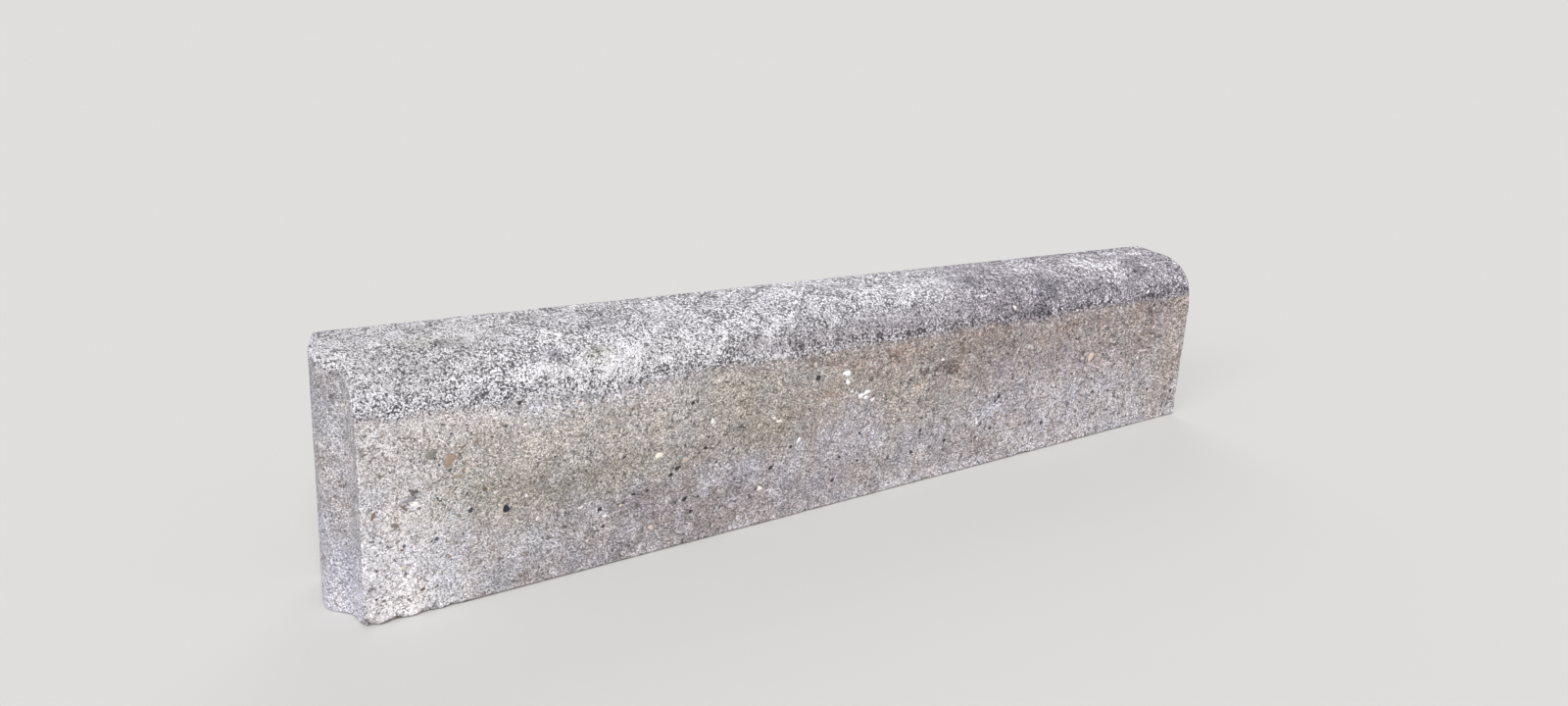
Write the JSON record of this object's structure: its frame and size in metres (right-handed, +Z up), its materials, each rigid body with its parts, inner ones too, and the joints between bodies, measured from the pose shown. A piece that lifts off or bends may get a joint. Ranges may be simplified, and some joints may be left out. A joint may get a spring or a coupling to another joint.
{
  "type": "concrete kerb stone",
  "caption": "Straight concrete kerb stone with a battered, round-nosed head, a full-height tongue at one end and a plain flat end at the other.",
  "frame": {"origin": "middle of the flat bed, halfway between the tongue's shoulders and the plain end", "axes": "+X along the kerb from the tongue end to the plain end, +Y from the front face to the back face, +Z up"},
  "size_m": [1.013, 0.1, 0.2],
  "materials": {
    "concrete": "weathered, rough"
  },
  "bodies": {
    "root": {"kerb_stone": "concrete"}
  },
  "joints": []
}
